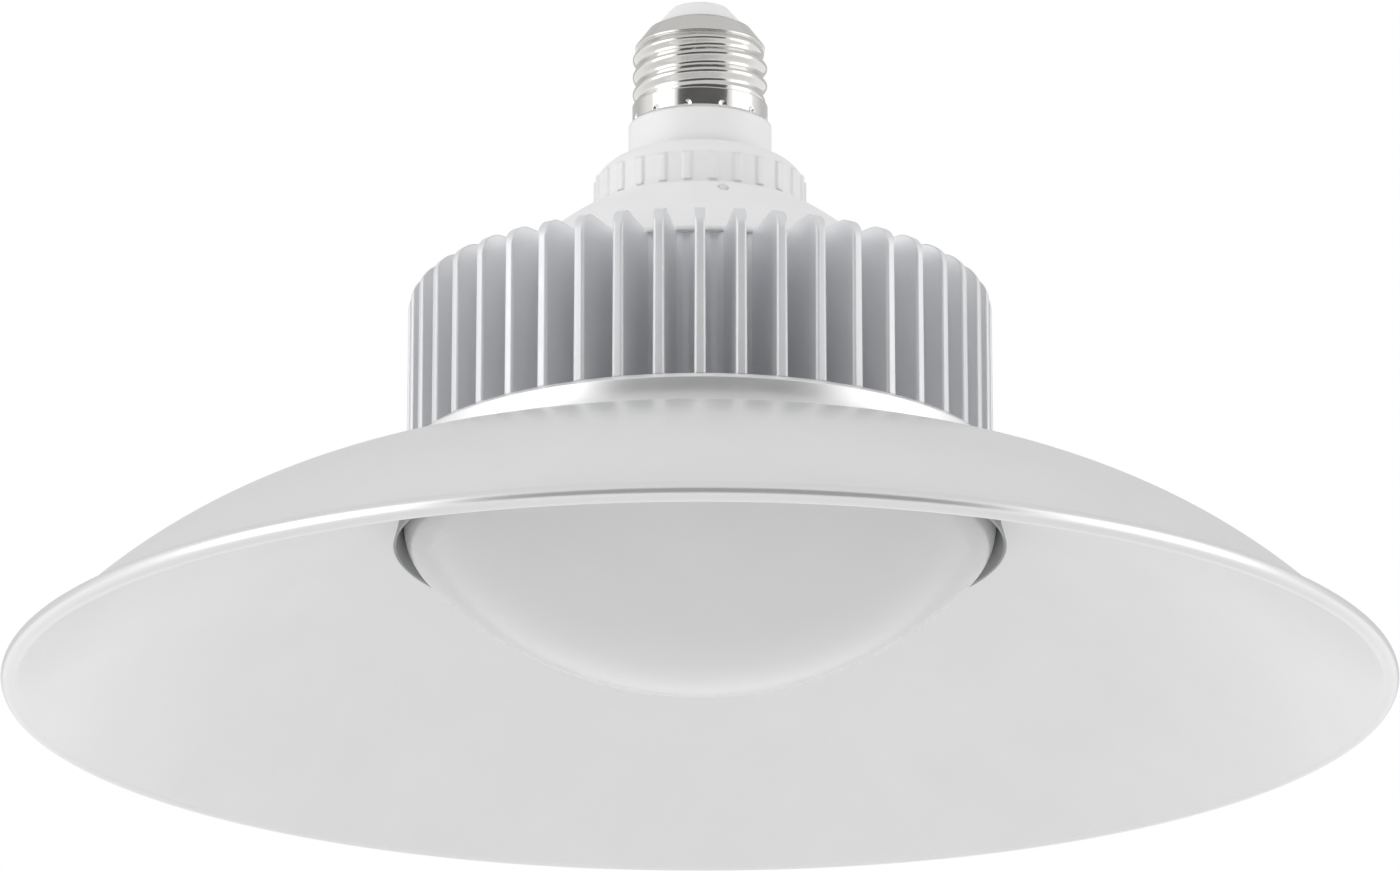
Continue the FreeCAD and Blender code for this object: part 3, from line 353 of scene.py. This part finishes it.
def shade_outline():
    """The outline (radius, height) from the seat's lower edge round the curl and back to its upper edge."""
    rise = math.sqrt(CROWN_RADIUS ** 2 - (SEAT_RADIUS - CROWN_CENTRE) ** 2)
    reach = CROWN_RADIUS + CURL_RADIUS - SHADE_WALL
    curl = SHADE_RADIUS - CURL_RADIUS
    lean = math.asin((curl - CROWN_CENTRE) / reach)
    crown_level = SHADE_TOP - rise
    curl_level = crown_level + reach * math.cos(lean)
    start = math.asin((SEAT_RADIUS - CROWN_CENTRE) / CROWN_RADIUS)

    def crown(radius):
        angles = [start + (lean - start) * step / CROWN_STEPS for step in range(CROWN_STEPS + 1)]
        return [(CROWN_CENTRE + radius * math.sin(a), crown_level + radius * math.cos(a)) for a in angles]

    def hem(radius, count):
        angles = [lean + math.pi - CURL_SWEEP * step / count for step in range(count + 1)]
        return [(curl + radius * math.sin(a), curl_level + radius * math.cos(a)) for a in angles]

    inside = crown(CROWN_RADIUS - SHADE_WALL)
    inside[0] = (SEAT_RADIUS, SHADE_TOP - SHADE_WALL)
    hem_outside = hem(CURL_RADIUS, CURL_OUTER_STEPS)[1:]
    hem_inside = hem(CURL_RADIUS - SHADE_WALL, CURL_INNER_STEPS)[::-1]
    outside = crown(CROWN_RADIUS)[::-1][1:]
    return inside + hem_outside + hem_inside + outside


def ring_outline():
    """The outline (radius, height) from the foot's edge up the bulge, over the chamfer and down the step."""
    widest = RING_TOP - RING_CHAMFER
    tuck = math.asin((widest - SHADE_TOP) / RING_BULGE)
    angles = [tuck * step / BULGE_STEPS for step in range(BULGE_STEPS, -1, -1)]
    bulge = [
        (SEAT_RADIUS - RING_BULGE * (1 - math.cos(a)), widest - RING_BULGE * math.sin(a)) for a in angles
    ]
    step = [(SEAT_RADIUS - RING_CHAMFER, RING_TOP), (RING_STEP, RING_TOP), (RING_STEP, SHADE_TOP + RING_LIP)]
    return bulge + step


def circle(radius, level, count, x=0.0, y=0.0):
    """Points round a circle at a level."""
    turns = [2 * math.pi * step / count for step in range(count)]
    return [Vector((x + radius * math.cos(t), y + radius * math.sin(t), level)) for t in turns]


def strip(shell, first, second):
    """A smooth band of faces between two rings of points."""
    for step in range(len(first)):
        after = (step + 1) % len(first)
        face = shell.faces.new((first[step], first[after], second[after], second[step]))
        face.smooth = True


def turn(shell, outline):
    """Rings of points along an outline, joined by bands."""
    rings = [[shell.verts.new(p) for p in circle(radius, level, TURN_STEPS)] for radius, level in outline]
    for first, second in zip(rings, rings[1:]):
        strip(shell, first, second)
    return rings


def turned_piece(name, shell, slot):
    """A smooth piece of the lamp from a turned shell, in one of the record's finishes."""
    bmesh.ops.recalc_face_normals(shell, faces=shell.faces)
    mesh = bpy.data.meshes.new(name)
    shell.to_mesh(mesh)
    shell.free()
    mesh.set_sharp_from_angle(angle=SHARP_ANGLE)
    mesh.materials.append(MATERIALS[slot])
    piece = bpy.data.objects.new(name, mesh)
    bpy.context.scene.collection.objects.link(piece)
    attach(piece, "root")
    return piece


def make_clamped(name, outline, slot, node):
    """A piece turned from an outline, closed by two flats that have the bore and the clamp screws' holes."""
    shell = bmesh.new()
    rings = turn(shell, outline)
    loops = []
    for edge in (rings[0], rings[-1]):
        level = edge[0].co.z
        holes = [circle(BORE_RADIUS, level, TURN_STEPS)]
        for index in range(CLAMP_COUNT):
            angle = 2 * math.pi * index / CLAMP_COUNT
            x, y = CLAMP_CIRCLE * math.cos(angle), CLAMP_CIRCLE * math.sin(angle)
            holes.append(circle(CLAMP_HOLE, level, HOLE_STEPS, x, y))
        inner = [[shell.verts.new(p) for p in hole] for hole in holes]
        flat = edge + [vert for loop in inner for vert in loop]
        for corners in tessellate_polygon([[vert.co for vert in loop] for loop in [edge] + inner]):
            shell.faces.new([flat[corner] for corner in corners])
        loops.append(inner)
    for low, high in zip(*loops):
        strip(shell, low, high)
    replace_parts(turned_piece(name, shell, slot), node)


def make_shadow_lip():
    """Painted shadow: a thin dark grey lip that flares out from the dome's foot and leaves a dark groove
    round the dome, where the dome's shadow falls on the shade.
    """
    shell = bmesh.new()
    rings = turn(shell, SHADOW_LIP_OUTLINE)
    strip(shell, rings[-1], rings[0])
    turned_piece("dome_shadow_lip", shell, "pad_grey")


def make_world():
    """A white sky, which metal mirrors greyed towards the zenith and, above the horizon, behind the lamp."""
    world = bpy.data.worlds.new("studio")
    world.use_nodes = True
    tree = world.node_tree
    tree.nodes.clear()
    heading = add_node(tree, "ShaderNodeSeparateXYZ")
    tree.links.new(add_node(tree, "ShaderNodeTexCoord").outputs["Generated"], heading.inputs[0])
    overhead = ranged(tree, heading.outputs["Z"], *OVERHEAD_FADE, 1.0, SKY_OVERHEAD)
    behind = ranged(tree, heading.outputs["Y"], *BEHIND_FADE, 1.0, SKY_BEHIND)
    horizon = ranged(tree, heading.outputs["Z"], *HORIZON_FADE, 1.0, 0.0)
    mirrored = combined(tree, "MINIMUM", overhead, combined(tree, "MAXIMUM", behind, horizon))
    strength = add_node(tree, "ShaderNodeMapRange", To_Min=SKY_LIGHT)
    tree.links.new(add_node(tree, "ShaderNodeLightPath").outputs["Is Glossy Ray"], strength.inputs["Value"])
    tree.links.new(mirrored, strength.inputs["To Max"])
    sky = add_node(tree, "ShaderNodeBackground", Color=(1.0, 1.0, 1.0, 1.0))
    tree.links.new(strength.outputs["Result"], sky.inputs["Strength"])
    output = add_node(tree, "ShaderNodeOutputWorld")
    tree.links.new(sky.outputs[0], output.inputs["Surface"])
    bpy.context.scene.world = world


def make_plane(name, centre, facing, width, height, material):
    """A stage rectangle about a centre, facing a direction."""
    mesh = bpy.data.meshes.new(name)
    x, y = width / 2, height / 2
    mesh.from_pydata([(-x, -y, 0), (x, -y, 0), (x, y, 0), (-x, y, 0)], [], [(0, 1, 2, 3)])
    mesh.materials.append(material)
    plane = bpy.data.objects.new(name, mesh)
    bpy.context.scene.collection.objects.link(plane)
    plane.location = centre
    plane.rotation_euler = Vector(facing).to_track_quat("Z", "Y").to_euler()
    return plane


def make_floor():
    """Pale floor, well below the hanging lamp, painted darker near it as painted shade and paler with
    distance.
    """
    material, tree, shader = new_material("floor")
    # Painted shade: the floor's colour is darker near the lamp and paler further away
    tree.links.new(by_radius(tree, *FLOOR_FADE, FLOOR_SHADED_NEAR, FLOOR_FAR), shader.inputs["Base Color"])
    shader.inputs["Roughness"].default_value = FLOOR_ROUGHNESS
    make_plane("floor", (0, 0, FLOOR_LEVEL), (0, 0, 1), FLOOR_SIZE, FLOOR_SIZE, material)


def from_azimuth(azimuth, elevation, distance):
    """An offset in metres: azimuth 0 is the camera's side, positive to the right."""
    a, e = math.radians(azimuth), math.radians(elevation)
    return Vector((math.sin(a) * math.cos(e), -math.cos(a) * math.cos(e), math.sin(e))) * distance


def make_softbox(name, azimuth, elevation, distance, width, height, power, mirrored):
    """A rectangular studio lamp that points at the part's middle; metal mirrors it or not."""
    light = bpy.data.lights.new(name, "AREA")
    light.shape = "RECTANGLE"
    light.size = width
    light.size_y = height
    light.energy = power
    lamp = bpy.data.objects.new(name, light)
    bpy.context.scene.collection.objects.link(lamp)
    lamp.location = from_azimuth(azimuth, elevation, distance) + CAMERA_AIM
    lamp.rotation_euler = (lamp.location - CAMERA_AIM).to_track_quat("Z", "Y").to_euler()
    lamp.visible_camera = False
    lamp.visible_glossy = mirrored


def make_dark_card(azimuth, elevation, distance, width, height):
    """A dark card behind the camera, which the metal mirrors."""
    material, _, shader = new_material("dark_front")
    shader.inputs["Base Color"].default_value = (DARK_CARD_GREY, DARK_CARD_GREY, DARK_CARD_GREY, 1.0)
    shader.inputs["Roughness"].default_value = DARK_CARD_ROUGHNESS
    centre = from_azimuth(azimuth, elevation, distance) + CAMERA_AIM
    card = make_plane("dark_front", centre, CAMERA_AIM - centre, width, height, material)
    card.visible_camera = False


def make_camera():
    """A long lens that looks up into the shade."""
    data = bpy.data.cameras.new("camera")
    data.lens = LENS_MM
    data.sensor_width = SENSOR_MM
    data.sensor_fit = "HORIZONTAL"
    data.clip_end = CAMERA_REACH
    camera = bpy.data.objects.new("camera", data)
    bpy.context.scene.collection.objects.link(camera)
    camera.location = RIM_CENTRE + from_azimuth(0.0, CAMERA_ELEVATION, CAMERA_DISTANCE)
    camera.rotation_euler = (camera.location - CAMERA_AIM).to_track_quat("Z", "Y").to_euler()
    bpy.context.scene.camera = camera


# Finishes on the solids
MATERIALS = {"spun_aluminium": spun_finish()}
for slot, (dark, light, rough, special) in FINISHES.items():
    MATERIALS[slot] = finish(slot, dark, light, rough, **special)
for entry in frame["record"]["subparts"]:
    node = frame["nodes"][entry["node"]]
    node.data.materials.clear()
    node.data.materials.append(MATERIALS[entry["material_slot"]])

# Turned pieces
make_clamped("shade_turned", shade_outline(), "spun_aluminium", "shade")
make_clamped("ring_turned", ring_outline(), "turned_aluminium", "mounting_ring")
# Dark lip round the dome's foot: painted shadow
make_shadow_lip()

# Stage, light and camera
make_world()
make_floor()
for name, setting in SOFTBOXES.items():
    make_softbox(name, *setting)
make_dark_card(*DARK_CARD)
make_camera()
bpy.context.scene.view_settings.view_transform = "Standard"
